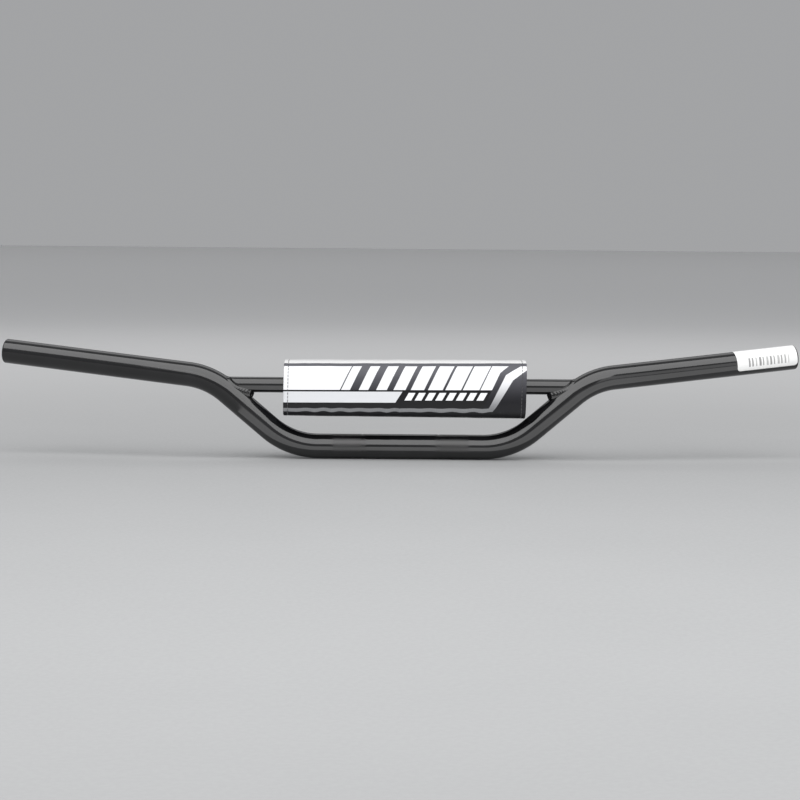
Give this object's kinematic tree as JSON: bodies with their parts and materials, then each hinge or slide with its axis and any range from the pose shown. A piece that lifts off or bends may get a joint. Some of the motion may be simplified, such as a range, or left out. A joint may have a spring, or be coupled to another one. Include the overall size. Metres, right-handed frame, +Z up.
{
  "type": "motorcycle handlebar",
  "caption": "Low steel motorcycle handlebar with swept-back ends, a welded crossbar and a padded, wrapped crossbar pad that closes with a hook-and-loop flap.",
  "frame": {"origin": "on the tube's axis in the middle of the straight section that the clamps hold", "axes": "+X along the bar, +Y back towards the rider, +Z up"},
  "size_m": [0.7306, 0.0788, 0.1037],
  "materials": {
    "gloss_black_paint": "gloss",
    "printed_vinyl": "satin",
    "black_vinyl": "satin",
    "pad_foam": "matte",
    "hook_tape": "matte",
    "loop_tape": "matte",
    "thread": "satin",
    "label_paper": "satin"
  },
  "bodies": {
    "bar": {"main_tube": "gloss_black_paint", "crossbar_tube": "gloss_black_paint", "weld_left": "gloss_black_paint", "weld_right": "gloss_black_paint", "label": "label_paper"},
    "pad": {"pad_foam": "pad_foam", "pad_cover": "printed_vinyl", "loop_strip": "loop_tape", "hem_thread_left": "thread", "hem_thread_right": "thread", "loop_thread_upper": "thread", "loop_thread_lower": "thread"},
    "flap": {"closure_flap": "black_vinyl", "hook_strip": "hook_tape", "flap_thread_left": "thread", "flap_thread_right": "thread", "hook_thread_upper": "thread", "hook_thread_lower": "thread"}
  },
  "joints": [
    {"name": "pad_turn", "type": "hinge", "parent": "bar", "child": "pad", "pos_m": [0.0034, 0, 0.0549], "axis": [1, 0, 0], "range_deg": [-45, 45]},
    {"name": "flap_open", "type": "hinge", "parent": "pad", "child": "flap", "pos_m": [0.0034, 0.0215, 0.0622], "axis": [1, 0, 0], "range_deg": [0, 105]}
  ]
}
